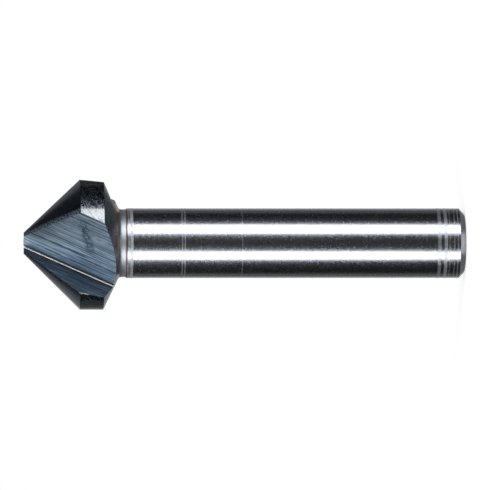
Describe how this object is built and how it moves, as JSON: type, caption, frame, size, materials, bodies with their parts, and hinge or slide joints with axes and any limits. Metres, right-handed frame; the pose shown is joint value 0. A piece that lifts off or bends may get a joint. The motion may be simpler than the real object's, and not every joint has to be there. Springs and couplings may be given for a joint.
{
  "type": "countersink bit",
  "caption": "Countersink bit: a plain round shank and a wide cone head with straight ground V flutes, for sinking screw heads flush.",
  "frame": {"origin": "centre of the flat end face of the shank", "axes": "+Z along the bit's axis from the shank's end to the point, -Y toward the flute that faces the viewer, +X to the viewer's right with the point up"},
  "size_m": [0.0185, 0.0186, 0.063],
  "materials": {
    "tool_steel": "high speed steel, shank ground and polished bright, head coated dark blue-black"
  },
  "bodies": {
    "root": {"countersink_bit": "tool_steel"}
  },
  "joints": []
}
